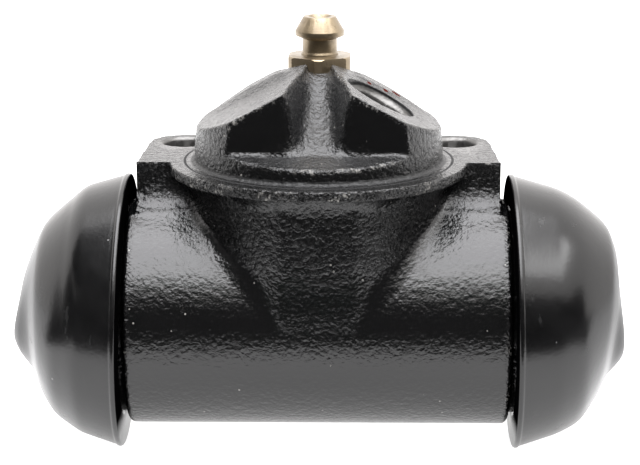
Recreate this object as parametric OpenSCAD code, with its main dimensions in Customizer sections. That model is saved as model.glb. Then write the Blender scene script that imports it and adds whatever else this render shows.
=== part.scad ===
// Drum brake wheel cylinder: a cast body with a straight through bore, two opposed pistons with their
// rubber cups, cup expanders and one spring between them, two outside dust boots and a bleeder screw.
// X runs along the bore, Z is square to the mounting face, and the origin is where the pilot's axis
// meets that face. Millimetres.

/* [Barrel] */
// Diameter of the cylinder bore
bore_d = 27; // [26:0.25:27.75]
// Outside diameter of the cast barrel
barrel_d = 34.5; // [34:0.25:36]
// Length of the cast barrel between its end shoulders
barrel_l = 57.4; // [56:0.2:64]
// Chamfer on the barrel's end shoulders
shoulder_chamfer = 0.5; // [0.2:0.1:0.8]
// Length of the turned spigot beyond each shoulder
spigot_l = 5.4; // [4.8:0.2:5.8]
// Diameter of the lip at the end of each spigot
spigot_d = 33; // [32:0.25:33.5]
// Diameter at the bottom of the boot groove
groove_d = 31; // [30.5:0.1:31.5]
// Width of the boot groove beside each shoulder
groove_w = 3.2; // [2.8:0.1:3.6]

/* [Mounting face] */
// Height of the mounting face above the bore axis
axis_drop = 23.8; // [23:0.2:26]
// Diameter of the round pilot that centres the part
pilot_d = 37.4; // [36.4:0.2:38.4]
// Height of the pilot's straight register
register_h = 2; // [1.6:0.1:2.2]
// Draft of the cast pilot above its register, in degrees
pilot_draft = 5; // [4:0.5:9]
// Outside diameter of the flange ring round the pilot
flange_d = 45; // [44:0.2:47]
// Diameter of the neck under the flange ring
neck_d = 36.6; // [35.6:0.2:38]
// Radius of the flare from the neck to the flange ring
neck_flare = 5.8; // [4.6:0.2:7]
// Distance of the neck's flat front ahead of the bore axis
neck_front = 17.8; // [17.7:0.1:18]
// Distance from the bore axis to where the neck starts to run into the barrel
neck_foot = 7; // [5:0.5:9]
// Reach of each ear from the middle of the part
ear_reach = 27.4; // [26.8:0.2:28]
// Height of the ears' front wall
ear_t = 2.6; // [2:0.2:3.4]
// Distance of the ears' front wall ahead of the pilot's centre
ear_front = 2.6; // [1.4:0.2:3.4]
// Radius of the fillet from the ears' front wall to the barrel
ear_fillet = 3; // [2.5:0.5:4]
// Spacing of the two tapped bolt holes
bolt_spacing = 42; // [41:0.25:43]
// Distance of the bolt holes behind the pilot's centre
bolt_back = 12.2; // [11.4:0.2:13.2]
// Diameter of the tapped bolt holes
bolt_d = 6.8; // [6.2:0.1:7.4]
// Depth of the tapped bolt holes
bolt_depth = 9.5; // [8:0.5:10.5]
// Wall of the lobe round each bolt hole
lobe_wall = 2.2; // [1.8:0.1:2.6]
// Depth of the lobe's boss under the mounting face
boss_depth = 12; // [11.5:0.5:14]
// Diameter cleared in the pilot for each bolt's head
head_d = 15.4; // [14.6:0.2:16.4]
// Diameter of the thin relief groove turned round the pilot
relief_d = 40.4; // [39.6:0.2:41.4]

/* [Port block] */
// Slope of the two port faces, in degrees
roof_slope = 28; // [26:1:31]
// Height of the port faces above the mounting face at the pilot's sides
eave_h = 5; // [4.4:0.1:5.6]
// Width of the notch between the two peaks
peak_gap = 5; // [4:0.2:6]
// Distance of the block's front wall ahead of the pilot's centre
block_front = 13; // [12:0.1:13.4]
// Distance of the notch's back wall behind the pilot's centre
block_back = 4.5; // [4:0.1:5]
// Diameter of the rounded boss behind each port face
port_boss_d = 21.8; // [20.8:0.2:22]
// Distance of the port faces' middle ahead of the pilot's centre
port_front = 3; // [2.4:0.2:3.6]
// Height of the ledge at the foot of the front wall
ledge_h = 3.2; // [2.8:0.1:3.8]
// Fall of the ledge towards the front, in degrees
ledge_draft = 9; // [6:0.5:10]
// Width of the floor of the valley between the port bosses
valley_w = 4; // [3:0.2:4.6]
// Lean of the valley's sides from upright, in degrees
valley_lean = 20; // [16:1:24]
// Height of the valley's floor at the back wall
valley_top = 12.2; // [11.5:0.1:12.8]
// Height of the pad that the bleeder screw goes into
pad_h = 6.2; // [5.4:0.2:7]

/* [Fluid ports] */
// Diameter of the inlet port's thread
port_d = 9.5; // [8.5:0.25:10]
// Depth of the inlet port's thread
port_depth = 11; // [9:0.5:12]
// Diameter of the inlet port's countersunk mouth
port_mouth_d = 10.8; // [10.6:0.1:11.4]
// Distance of the inlet port's mouth from the middle of the part
port_out = 9.3; // [8.9:0.1:9.8]
// Diameter of the drilled fluid passages
passage_d = 2.5; // [2:0.25:3]

/* [Bleeder screw] */
// Distance of the bleeder screw behind the pilot's centre
bleeder_back = 11.4; // [11.1:0.1:11.8]
// Diameter of the bleeder screw's thread
bleeder_d = 9.4; // [8.6:0.1:9.6]
// Depth of the bleeder screw's thread below its pad
bleeder_depth = 10; // [8:0.5:11]
// Width of the bleeder screw's hexagon across its flats
hex_af = 9.525; // [9.025:0.1:9.725]
// Diameter that the hexagon's corners are turned down to
hex_corner_d = 10.4; // [10:0.1:10.8]
// Height of the hexagon
hex_h = 7; // [6:0.5:9]
// Gap between the hexagon and its pad
hex_gap = 0.8; // [0.6:0.1:2]
// Turn of the hexagon's front corner, in degrees
hex_turn = 2; // [0:1:30]
// Largest diameter of the hose barb
barb_d = 7.6; // [7:0.1:8.2]
// Diameter of the neck under the hose barb
barb_neck_d = 5.4; // [5:0.1:6]
// Diameter of the barb's flat top
barb_top_d = 5; // [4.6:0.1:5.4]
// Height of the neck under the hose barb
barb_neck_h = 3.1; // [2.4:0.1:4]
// Height of the hose barb above its neck
barb_h = 2.9; // [2.4:0.1:4]
// Diameter of the drilling down the bleeder screw
drill_d = 2.4; // [1.6:0.1:2.6]

/* [Pistons and cups] */
// Clearance on radius between the bore and what slides in it
slide_fit = 0.05; // [0.03:0.01:0.08]
// Length of each piston
piston_l = 15.4; // [13:0.2:16]
// Distance of each piston's outer face from the spigot's end
piston_inset = 1.4; // [0.6:0.2:2.4]
// Diameter of the link socket in each piston
socket_d = 8; // [7:0.25:8.5]
// Depth of the link socket
socket_depth = 8.5; // [7:0.5:10]
// Length of each rubber cup
cup_l = 7.6; // [7:0.2:8.4]
// Thickness of the cup's base
cup_base = 3.4; // [3:0.2:3.8]
// Thickness of the cup's lip at its edge
cup_lip = 1.4; // [1.2:0.1:1.8]
// Thickness of the pressed steel cup expander
expander_t = 0.8; // [0.6:0.1:1]
// Diameter of the spring's wire
wire_d = 1.4; // [1:0.1:1.6]
// Mean diameter of the spring's coils
coil_d = 11.5; // [10.5:0.25:12]
// Number of turns of the spring
coil_turns = 6; // [5:1:8]

/* [Dust boots] */
// Diameter of the boot's rim
boot_d = 42; // [41:0.2:44]
// Gap between the boot's rim and the barrel's shoulder
boot_gap = 0.5; // [0.3:0.1:0.9]
// Width of the narrow band at the boot's rim
rim_w = 0.8; // [0.5:0.1:1.2]
// Distance of the boot's rim band from its back face
rim_back = 0.1; // [0.1:0.1:0.6]
// Height that the rim band stands above the skirt
rim_step = 0.35; // [0.2:0.05:0.5]
// Length of the boot's skirt up to its rounding
skirt_l = 5; // [4.5:0.25:6]
// Slope of the skirt, in degrees
skirt_slope = 17; // [14:0.5:18]
// Slope of the boot's face, in degrees
face_slope = 70; // [66:1:74]
// Radius of the rounding between skirt and face
dome_r = 11; // [10.5:0.25:11.5]
// Thickness of the boot's wall
boot_wall = 2.2; // [1.8:0.1:2.4]
// Diameter of the boot's face at the foot of its nose
face_d = 21; // [20:0.5:22]
// Diameter of the nose's end
nose_d = 14.6; // [13.6:0.2:15.6]
// Height of the nose above its foot
nose_h = 2.5; // [2:0.1:3.2]
// Distance that the nose hangs below the bore axis
nose_drop = 1; // [0:0.1:1.4]
// Upward tilt of the nose, in degrees
nose_tilt = 7; // [0:0.5:9]
// Diameter of the hole for the brake shoe's link
link_hole_d = 9.2; // [8.8:0.1:9.6]

/* [Hidden] */
$fn = 96;

// Room past a face that a cut runs through, and clearance between seated faces
over = 1;
seat_gap = 0.05;
far = 60;

bore_r = bore_d / 2;
barrel_r = barrel_d / 2;
pilot_r = pilot_d / 2;
flange_r = flange_d / 2;
neck_r = neck_d / 2;
groove_r = groove_d / 2;
spigot_r = spigot_d / 2;
shoulder_x = barrel_l / 2;
spigot_end_x = shoulder_x + spigot_l;
spigot_chamfer = 0.6;

// Flare of the neck: an arc that leaves the neck upright and meets the flange rim
flare_rise = neck_flare * sin(acos(1 - (flange_r - neck_r) / neck_flare));
rim_t = 1.6;
flare_foot_z = -rim_t - flare_rise;
flare_end_angle = 180 - acos(1 - (flange_r - neck_r) / neck_flare);
neck_taper = 0.3;
neck_run_in = 5;
fillet_steps = 8;

bolt_x = bolt_spacing / 2;
lobe_r = bolt_d / 2 + lobe_wall;
lobe_steps = 12;
boss_step = 0.3;
boss_r = lobe_r - boss_step;
boss_cone_h = 4;
boss_taper = 2.5;
boss_foot_r = boss_r - boss_taper;
bolt_chamfer = 0.4;
relief_w = 0.4;
relief_depth = 0.3;

// Port block: eave at the pilot's side, and the peaks either side of the notch
peak_h = eave_h + (pilot_r - peak_gap / 2) * tan(roof_slope);
roof_top = peak_h + peak_gap / 2 * tan(roof_slope);
port_z = peak_h - (port_out - peak_gap / 2) * tan(roof_slope);
port_sink = 1;
port_flare = 0.4;
port_spread = 2 * port_flare * over / port_sink;
drill_point = 59;
passage_r = passage_d / 2;

// Valley between the bosses: its floor climbs from the ledge to the notch
valley_run = block_front + block_back;
valley_angle = atan2(valley_top - ledge_h, valley_run);
valley_len = 2 * valley_run;

// Bleeder screw and its seat
bleeder_hole_r = bleeder_d / 2 + slide_fit;
thread_end_z = pad_h - bleeder_depth;
tip_step = 1.2;
tip_r = bleeder_d / 2 - tip_step;
tip_neck = 3.2;
seat_z = thread_end_z - tip_neck;
seat_land = 0.2;
seat_end_r = passage_r + seat_land;
hex_z = pad_h + hex_gap;
hex_top_z = hex_z + hex_h;
barb_z = hex_top_z + barb_neck_h;
barb_top_z = barb_z + barb_h;
collar_h = 0.3;
collar_r = barb_neck_d / 2 + collar_h / 2;
barb_land = 0.7;
barb_under = 0.5;
hex_sides = 6;
hex_half = 180 / hex_sides;
hex_chamfer = 0.2;
drill_flare = 0.6;
cross_drill_r = 0.4 * drill_d;

// Pistons, cups, expanders and spring, measured from the middle of the bore outwards
slide_r = bore_r - slide_fit;
piston_x1 = spigot_end_x - piston_inset;
piston_x0 = piston_x1 - piston_l;
piston_chamfer = 0.7;
piston_waist = 0.5;
cup_x1 = piston_x0 - seat_gap;
cup_x0 = cup_x1 - cup_l;
cup_floor_x = cup_x1 - cup_base;
cup_heel = 0.35;
cup_draft = 2.2;
cup_floor_r = bore_r - cup_lip - cup_draft;
expander_x1 = cup_floor_x - seat_gap;
expander_x0 = expander_x1 - expander_t;
expander_gap = 0.3;
expander_r = cup_floor_r - expander_gap;
expander_flare = 1.9;
expander_land = 1.2;
expander_hole_r = coil_d / 2 - wire_d - expander_land;
spring_end_x = expander_x0 - seat_gap;
wire_r = wire_d / 2;
wire_sides = 8;
turn_steps = 24;
flat_turns = 1;
flat_rise = wire_d + seat_gap;

// Boots, measured from the shoulder outwards along the bore
boot_r = boot_d / 2;
bead_r = groove_r + seat_gap;
bead_end = groove_w - seat_gap;
back_step = 0.9;
back_r = barrel_r + back_step;
rim_t0 = boot_gap + rim_back;
rim_t1 = rim_t0 + rim_w;
skirt_t0 = rim_t1 + rim_step / 2;
skirt_r0 = boot_r - rim_step;
dome_t0 = skirt_t0 + skirt_l;
dome_r0 = skirt_r0 - skirt_l * tan(skirt_slope);
dome_centre = [dome_t0 - dome_r * sin(skirt_slope), dome_r0 - dome_r * cos(skirt_slope)];
dome_steps = 12;
dome_end = dome_centre + dome_r * [sin(face_slope), cos(face_slope)];
face_t = dome_end[0] + (dome_end[1] - face_d / 2) / tan(face_slope);
face_rise = 2.2;
nose_flare = 40;
nose_foot_r = nose_d / 2 + nose_h * tan(nose_flare);
nose_edge = 0.7;
nose_crown = 0.3;
nose_sink = 1.6;
inner_dome_r = dome_r - boot_wall;
inner_dome_end = dome_centre + inner_dome_r * [sin(face_slope), cos(face_slope)];
lip_room = 0.15;
lip_r = spigot_r + lip_room;
lip_end = spigot_l + lip_room;

// Points of an arc about a centre, from one angle to another, in the plane of an outline
function arc(centre, r, from, to, steps) =
    [for (i = [0:steps]) let (a = from + (to - from) * i / steps) centre + r * [cos(a), sin(a)]];

// Turns a shape made about Z so that it lies along the bore
module along_bore() {
    translate([0, 0, -axis_drop]) rotate([0, 90, 0]) children();
}

// The same shape at the right end and mirrored at the left
module both_sides() {
    children();
    mirror([1, 0, 0]) children();
}

// Solid of an outline drawn in Y and Z, running along X
module extrude_x(length) {
    rotate([90, 0, 90]) linear_extrude(length, center = true) children();
}

// Solid of an outline drawn in X and Z, running along Y
module extrude_y(length) {
    rotate([90, 0, 0]) linear_extrude(length, center = true) children();
}

module barrel() {
    along_bore() rotate_extrude() polygon([
        [0, -shoulder_x], [barrel_r - shoulder_chamfer, -shoulder_x],
        [barrel_r, -shoulder_x + shoulder_chamfer], [barrel_r, shoulder_x - shoulder_chamfer],
        [barrel_r - shoulder_chamfer, shoulder_x], [0, shoulder_x]]);
}

// Turned end with the groove that the boot's bead snaps into
module spigot() {
    along_bore() translate([0, 0, shoulder_x]) rotate_extrude() polygon([
        [0, -over], [groove_r, -over], [groove_r, groove_w], [spigot_r, groove_w],
        [spigot_r, spigot_l - spigot_chamfer], [spigot_r - spigot_chamfer, spigot_l], [0, spigot_l]]);
}

// Flange ring, flared neck with its flat front, and its run into the barrel
module neck() {
    flare = arc([neck_r + neck_flare, flare_foot_z], neck_flare, flare_end_angle, 180, fillet_steps);
    difference() {
        rotate_extrude() polygon(concat(
            [[0, 0], [flange_r, 0]], flare,
            [[neck_r - neck_taper, neck_foot - axis_drop],
             [barrel_r - neck_taper, neck_foot - neck_run_in - axis_drop],
             [0, neck_foot - neck_run_in - axis_drop]]));
        extrude_x(far) polygon([
            [-neck_front, -rim_t], [-neck_front, -axis_drop], [-far, -axis_drop], [-far, -rim_t]]);
    }
}

// Both ears in plan: a lobe round each bolt hole, a straight side to each front corner, open ahead
module ear_plan() {
    lobe = [bolt_x, bolt_back];
    corner = [ear_reach, -ear_front];
    to_lobe = atan2(lobe[1] - corner[1], lobe[0] - corner[0]);
    side_angle = to_lobe - asin(lobe_r / norm(lobe - corner));
    half = concat([[ear_reach, -far], corner], arc(lobe, lobe_r, side_angle - 90, 90, lobe_steps));
    polygon(concat(half, [for (i = [len(half) - 1:-1:0]) [-half[i][0], half[i][1]]]));
}

// The ears from the side: front wall, fillet down to the barrel, web and the plate under the lobes
module ear_side() {
    top = barrel_r - axis_drop;
    fillet_y = -ear_front - ear_fillet;
    back_y = bolt_back - lobe_wall;
    fillet = arc([fillet_y, top + ear_fillet], ear_fillet, 0, -90, fillet_steps);
    polygon(concat(
        [[far, 0], [-ear_front, 0]], fillet,
        [[fillet_y, top - ear_fillet], [0, -axis_drop + bore_r + over],
         [back_y, top - ear_fillet * 2], [back_y, -ear_t], [far, -ear_t]]));
}

// Boss under one lobe, running into the back of the barrel
module bolt_boss() {
    translate([bolt_x, bolt_back, -boss_depth - boss_cone_h]) rotate_extrude() polygon([
        [0, 0], [boss_foot_r, 0], [boss_r, boss_cone_h], [boss_r, boss_cone_h + boss_depth - ear_t / 2],
        [0, boss_cone_h + boss_depth - ear_t / 2]]);
}

module mounting_ears() {
    intersection() {
        translate([0, 0, -far]) linear_extrude(2 * far) ear_plan();
        extrude_x(2 * far) ear_side();
    }
    both_sides() bolt_boss();
}

// Round pilot with draft above its register, tall enough for the roof to trim it
module pilot() {
    rise = roof_top + over - register_h;
    rotate_extrude() polygon([
        [0, -over], [pilot_r, -over], [pilot_r, register_h],
        [pilot_r - rise * tan(pilot_draft), register_h + rise], [0, register_h + rise]]);
}

// Space under the two sloping port faces
module roof() {
    side = pilot_r + over;
    side_h = eave_h - over * tan(roof_slope);
    extrude_y(far) polygon([[-side, -over], [side, -over], [side, side_h], [0, roof_top], [-side, side_h]]);
}

// Front of the pilot cut away down to its falling ledge
module front_cut() {
    fall = (far - block_front) * tan(ledge_draft);
    extrude_x(far) polygon([
        [-block_front, ledge_h], [-block_front, far], [-far, far], [-far, ledge_h - fall]]);
}

// Back of the pilot cut down to the bleeder screw's pad, round the two port bosses
module back_cut() {
    difference() {
        extrude_x(far) polygon([[block_back, pad_h], [far, pad_h], [far, far], [block_back, far]]);
        both_sides() translate([port_out, -port_front, 0]) cylinder(d = port_boss_d, h = far);
    }
}

// Valley from the ledge up to the notch, open to the top
module valley() {
    deep = roof_top;
    half = valley_w / 2;
    half_top = half + deep * tan(valley_lean);
    translate([0, -block_front, ledge_h]) rotate([valley_angle, 0, 0])
        translate([0, valley_len / 2, 0]) extrude_y(valley_len)
            polygon([[-half, 0], [half, 0], [half_top, deep], [-half_top, deep]]);
}

module port_block() {
    difference() {
        intersection() {
            pilot();
            roof();
        }
        front_cut();
        back_cut();
        valley();
        both_sides() translate([bolt_x, bolt_back, 0]) cylinder(d = head_d, h = far);
    }
}

// Cut for the threaded inlet port, square to the right port face, and its passage to the bore
module inlet_port() {
    point_h = port_d / 2 / tan(drill_point);
    passage_l = (port_z + axis_drop) / cos(roof_slope) - bore_r / 2;
    translate([port_out, -port_front, port_z]) rotate([0, roof_slope, 0]) {
        translate([0, 0, -port_depth]) cylinder(d = port_d, h = port_depth + over);
        translate([0, 0, -port_depth - point_h]) cylinder(d1 = 0, d2 = port_d, h = point_h);
        translate([0, 0, -port_sink])
            cylinder(d1 = port_mouth_d - 2 * port_flare, d2 = port_mouth_d + port_spread, h = port_sink + over);
        translate([0, 0, -passage_l]) cylinder(r = passage_r, h = passage_l - port_depth);
    }
}

// Cut for the bleeder screw: thread, conical seat and passage to the top of the bore
module bleeder_hole() {
    seat_h = bleeder_hole_r - passage_r;
    translate([0, bleeder_back, 0]) {
        translate([0, 0, seat_z]) cylinder(r = bleeder_hole_r, h = pad_h - seat_z + over);
        translate([0, 0, seat_z - seat_h]) cylinder(r1 = passage_r, r2 = bleeder_hole_r, h = seat_h);
        translate([0, 0, -axis_drop]) cylinder(r = passage_r, h = axis_drop + seat_z);
    }
}

module bolt_hole() {
    point_h = bolt_d / 2 / tan(drill_point);
    translate([bolt_x, bolt_back, 0]) {
        translate([0, 0, -bolt_depth]) cylinder(d = bolt_d, h = bolt_depth + over);
        translate([0, 0, -bolt_depth - point_h]) cylinder(d1 = 0, d2 = bolt_d, h = point_h);
        translate([0, 0, -bolt_chamfer])
            cylinder(r1 = bolt_d / 2, r2 = bolt_d / 2 + bolt_chamfer, h = bolt_chamfer);
    }
}

module relief_groove() {
    rotate_extrude() translate([relief_d / 2, -relief_depth]) square([relief_w, relief_depth + over]);
}

module cylinder_body() {
    color("#1c1d1f")
    difference() {
        union() {
            difference() {
                union() {
                    barrel();
                    both_sides() spigot();
                    neck();
                    mounting_ears();
                }
                relief_groove();
            }
            port_block();
        }
        along_bore() cylinder(d = bore_d, h = 2 * spigot_end_x + 2 * over, center = true);
        inlet_port();
        bleeder_hole();
        both_sides() bolt_hole();
    }
}

// Bleeder screw: hose barb, hexagon, thread and conical tip on one axis, drilled down the middle
module bleeder_screw() {
    thread_r = bleeder_d / 2;
    tip_h = tip_r - seat_end_r;
    tip_z = seat_z - (bleeder_hole_r - tip_r) + 2 * seat_gap;
    barb_r = barb_d / 2;
    neck_r1 = barb_neck_d / 2;
    top_r = barb_top_d / 2;
    corner_r = hex_corner_d / 2;
    drill_r = drill_d / 2;
    color("#a8925f")
    translate([0, bleeder_back, 0]) difference() {
        union() {
            rotate_extrude() polygon([
                [0, tip_z - tip_h], [seat_end_r, tip_z - tip_h], [tip_r, tip_z], [tip_r, thread_end_z],
                [thread_r, thread_end_z + thread_r - tip_r], [thread_r, pad_h], [tip_r, pad_h + hex_gap / 2],
                [tip_r, hex_z + over], [0, hex_z + over]]);
            intersection() {
                translate([0, 0, hex_z]) rotate([0, 0, hex_half - hex_turn])
                    cylinder(d = hex_af / cos(hex_half), h = hex_h, $fn = hex_sides);
                translate([0, 0, hex_z]) rotate_extrude() polygon([
                    [0, 0], [corner_r - hex_chamfer, 0], [corner_r, hex_chamfer],
                    [corner_r, hex_h - hex_chamfer], [corner_r - hex_chamfer, hex_h], [0, hex_h]]);
            }
            rotate_extrude() polygon([
                [0, hex_top_z - over], [collar_r, hex_top_z - over], [collar_r, hex_top_z + collar_h],
                [neck_r1, hex_top_z + 2 * collar_h], [neck_r1, barb_z - barb_under],
                [barb_r, barb_z], [barb_r, barb_z + barb_land], [top_r, barb_top_z], [0, barb_top_z]]);
        }
        translate([0, 0, thread_end_z - tip_neck / 2 - drill_r])
            cylinder(r = drill_r, h = barb_top_z - thread_end_z + tip_neck + over);
        translate([0, 0, barb_top_z - drill_flare])
            cylinder(r1 = drill_r, r2 = drill_r + drill_flare, h = drill_flare);
        translate([0, 0, thread_end_z - tip_neck / 2])
            rotate([90, 0, 0]) cylinder(r = cross_drill_r, h = far, center = true);
    }
}

module piston() {
    socket_r = socket_d / 2;
    socket_point = socket_r / tan(drill_point);
    color("#9a9c9e")
    along_bore() difference() {
        rotate_extrude() polygon([
            [0, piston_x0], [slide_r - piston_chamfer, piston_x0], [slide_r, piston_x0 + piston_chamfer],
            [slide_r, piston_x1 - piston_chamfer], [slide_r - piston_chamfer, piston_x1], [0, piston_x1]]);
        translate([0, 0, piston_x1 - socket_depth]) cylinder(r = socket_r, h = socket_depth + over);
        translate([0, 0, piston_x1 - socket_depth - socket_point])
            cylinder(r1 = 0, r2 = socket_r, h = socket_point);
        translate([0, 0, piston_x1 - piston_waist])
            cylinder(r1 = socket_r, r2 = socket_r + piston_waist, h = piston_waist);
    }
}

// Rubber cup with its lip towards the middle of the bore
module cup() {
    color("#26272a")
    along_bore() rotate_extrude() polygon([
        [0, cup_x1], [slide_r - cup_heel, cup_x1], [slide_r - cup_heel, cup_floor_x],
        [slide_r, cup_x0 + cup_heel], [slide_r - cup_heel, cup_x0],
        [bore_r - cup_lip, cup_x0], [cup_floor_r, cup_floor_x], [0, cup_floor_x]]);
}

// Pressed dish that holds the cup's lip open and carries the spring
module cup_expander() {
    lip_depth = cup_l - cup_base - expander_flare;
    lip_slope = (bore_r - cup_lip - cup_floor_r) / (cup_l - cup_base);
    lip_out = expander_r + lip_depth * lip_slope;
    color("#b4b6b8")
    along_bore() rotate_extrude() polygon([
        [expander_hole_r, expander_x1], [expander_r, expander_x1],
        [lip_out, expander_x1 - lip_depth], [lip_out - expander_t, expander_x1 - lip_depth],
        [expander_r - expander_t, expander_x0], [expander_hole_r, expander_x0]]);
}

// Helix of round wire, with a flat turn at each end
module return_spring() {
    length = 2 * spring_end_x - wire_d;
    rings = coil_turns * turn_steps;
    rise_turns = coil_turns - 2 * flat_turns;
    pitch_rise = (length - 2 * flat_rise) / rise_turns;
    function climb(turn) =
        turn < flat_turns ? turn * flat_rise / flat_turns
        : turn > coil_turns - flat_turns ? length - (coil_turns - turn) * flat_rise / flat_turns
        : flat_rise + (turn - flat_turns) * pitch_rise;
    points = [for (i = [0:rings]) let (turn = i / turn_steps, a = 360 * turn)
        for (j = [0:wire_sides - 1]) let (b = 360 * j / wire_sides, r = coil_d / 2 + wire_r * cos(b))
            [r * cos(a), r * sin(a), climb(turn) - length / 2 + wire_r * sin(b)]];
    sides = [for (i = [0:rings - 1]) for (j = [0:wire_sides - 1]) let (k = (j + 1) % wire_sides)
        each [[i * wire_sides + j, (i + 1) * wire_sides + j, (i + 1) * wire_sides + k],
              [i * wire_sides + j, (i + 1) * wire_sides + k, i * wire_sides + k]]];
    ends = [[for (j = [0:wire_sides - 1]) j],
            [for (j = [0:wire_sides - 1]) rings * wire_sides + wire_sides - 1 - j]];
    color("#8d9093")
    along_bore() polyhedron(points, concat(sides, ends));
}

// Hollow of the boot: the bead's seat, room for the spigot's lip, and the space the piston moves in
module boot_hollow() {
    dome = arc(dome_centre, inner_dome_r, 90 - skirt_slope, 90 - face_slope, dome_steps);
    polygon(concat(
        [[0, -over], [bead_r, -over], [bead_r, bead_end], [lip_r, bead_end], [lip_r, lip_end]],
        [for (p = dome) [p[1], p[0]]],
        [[0, inner_dome_end[0]]]));
}

// Moulded boot: bead, rim band, skirt, rounded shoulder and face, with a nose that hangs a little low
module boot() {
    dome = arc(dome_centre, dome_r, 90 - skirt_slope, 90 - face_slope, dome_steps);
    color("#232426")
    along_bore() translate([0, 0, shoulder_x]) difference() {
        union() {
            rotate_extrude() polygon(concat(
                [[0, boot_gap], [back_r, boot_gap], [boot_r, rim_t0], [boot_r, rim_t1], [skirt_r0, skirt_t0]],
                [for (p = dome) [p[1], p[0]]],
                [[face_d / 2, face_t], [link_hole_d / 2, face_t + face_rise], [0, face_t + face_rise]]));
            translate([nose_drop, 0, face_t]) rotate([0, -nose_tilt, 0]) rotate_extrude() polygon([
                [0, -nose_sink], [nose_foot_r, -nose_sink], [nose_foot_r, 0],
                [nose_d / 2, nose_h - nose_edge / 2],
                [nose_d / 2 - nose_edge, nose_h], [0, nose_h + nose_crown]]);
        }
        rotate_extrude() boot_hollow();
        cylinder(d = link_hole_d, h = far);
    }
}

cylinder_body();
bleeder_screw();
mirror([1, 0, 0]) piston();  // left_piston
piston();  // right_piston
mirror([1, 0, 0]) cup();  // left_cup
cup();  // right_cup
mirror([1, 0, 0]) cup_expander();  // left_cup_expander
cup_expander();  // right_cup_expander
return_spring();
mirror([1, 0, 0]) boot();  // left_boot
boot();  // right_boot
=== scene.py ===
"""Looks of a drum brake wheel cylinder: cast body, rubber boots, bleeder screw, threads, spring and studio."""
import math

import bpy
import numpy as np
from bpy.props import FloatProperty, FloatVectorProperty, IntProperty, PointerProperty
from mathutils import Euler, Matrix, Vector


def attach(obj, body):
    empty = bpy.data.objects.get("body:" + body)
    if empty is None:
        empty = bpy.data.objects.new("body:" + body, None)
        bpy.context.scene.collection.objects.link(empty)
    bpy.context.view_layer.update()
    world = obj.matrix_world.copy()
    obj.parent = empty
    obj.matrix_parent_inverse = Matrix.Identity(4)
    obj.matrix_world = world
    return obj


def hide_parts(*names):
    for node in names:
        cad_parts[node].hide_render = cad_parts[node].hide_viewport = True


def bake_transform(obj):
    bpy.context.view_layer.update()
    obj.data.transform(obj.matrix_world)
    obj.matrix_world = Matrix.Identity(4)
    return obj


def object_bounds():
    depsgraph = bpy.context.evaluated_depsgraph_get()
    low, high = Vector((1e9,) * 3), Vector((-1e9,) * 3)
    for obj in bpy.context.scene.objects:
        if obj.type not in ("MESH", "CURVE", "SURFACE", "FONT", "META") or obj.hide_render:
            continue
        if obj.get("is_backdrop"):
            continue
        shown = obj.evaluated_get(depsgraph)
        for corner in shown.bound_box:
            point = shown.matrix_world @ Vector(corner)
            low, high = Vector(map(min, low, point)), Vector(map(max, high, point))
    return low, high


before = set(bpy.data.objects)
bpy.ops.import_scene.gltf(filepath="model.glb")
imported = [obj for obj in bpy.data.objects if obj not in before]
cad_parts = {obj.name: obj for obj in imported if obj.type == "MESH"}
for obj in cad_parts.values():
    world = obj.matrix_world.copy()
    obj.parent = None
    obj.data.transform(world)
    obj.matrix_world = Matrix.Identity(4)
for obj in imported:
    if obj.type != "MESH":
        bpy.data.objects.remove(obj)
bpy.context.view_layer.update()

bl_info = {
    "name": "Wheel Cylinder",
    "version": (1, 0, 0),
    "blender": (4, 5, 0),
    "location": "View3D > Sidebar > Wheel Cylinder",
    "description": "Builds the looks of a drum brake wheel cylinder on its packed frame",
    "category": "Object",
}

MM = 0.001
# Outer line of each boot in its upright middle plane: height over the bore axis and distance out, in mm
LEFT_BOOT_LINE = ((21.0, 1.8), (19.7, 5.2), (18.2, 8.2), (16.0, 10.7), (13.4, 13.5), (9.6, 15.1), (6.5, 16.2),
                  (3.1, 17.1), (-0.6, 17.8), (-3.2, 18.1), (-5.0, 18.0), (-6.6, 17.3), (-8.3, 16.0),
                  (-9.7, 14.5), (-13.4, 13.1), (-16.9, 10.8), (-19.4, 5.8), (-21.0, 1.0))
RIGHT_BOOT_LINE = ((21.0, 1.8), (19.9, 5.6), (18.9, 8.4), (16.5, 11.8), (14.0, 14.7), (12.7, 15.8),
                   (10.9, 16.5), (7.2, 16.8), (3.1, 17.15), (-1.1, 17.55), (-5.6, 17.9), (-7.1, 17.95),
                   (-8.0, 17.5), (-10.0, 15.0), (-13.2, 13.6), (-17.7, 10.5), (-19.5, 5.8), (-21.0, 1.0))
# Place and radius of each rust speck beside the inlet, in metres
RUST_SPECKS = (((0.00761, 0.00318, 0.01105), 0.00048), ((0.01011, 0.00367, 0.00984), 0.00050),
               ((0.01167, 0.00531, 0.00904), 0.00095))
IMAGE_PX = (640, 465)


def length_prop(name, description, default):
    """A length in metres that a user may change."""
    return FloatProperty(name=name, description=description, default=default, unit="LENGTH")


def angle_prop(name, description, degrees):
    """An angle that a user may change."""
    return FloatProperty(name=name, description=description, default=math.radians(degrees), subtype="ANGLE")


def colour_prop(name, description, default):
    """A colour that a user may change."""
    return FloatVectorProperty(name=name, description=description, default=default, size=3, subtype="COLOR",
                               min=0, max=1)


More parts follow.
